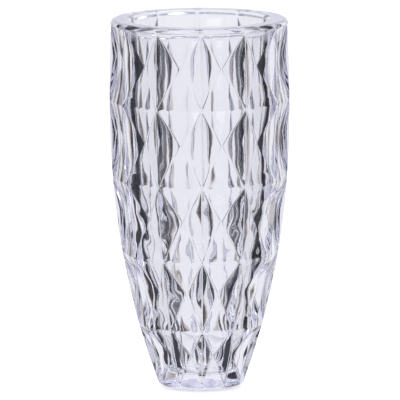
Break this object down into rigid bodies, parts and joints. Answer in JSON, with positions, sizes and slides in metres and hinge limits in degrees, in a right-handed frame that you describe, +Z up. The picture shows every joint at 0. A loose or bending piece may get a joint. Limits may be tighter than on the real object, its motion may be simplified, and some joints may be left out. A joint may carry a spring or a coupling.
{
  "type": "cut crystal vase",
  "caption": "Tall tapering clear crystal vase cut all over in tiers of raised diamonds between upright ridges, with a smooth round cavity and a heavy foot.",
  "frame": {"origin": "centre of the flat foot, on the surface that the vase stands on", "axes": "+Z up along the vase's axis; +X and -Y each pass through an upright ridge, and -Y is the front"},
  "size_m": [0.1484, 0.1484, 0.305],
  "materials": {
    "crystal": "clear, fire-polished"
  },
  "bodies": {
    "root": {"vase_body": "crystal"}
  },
  "joints": []
}
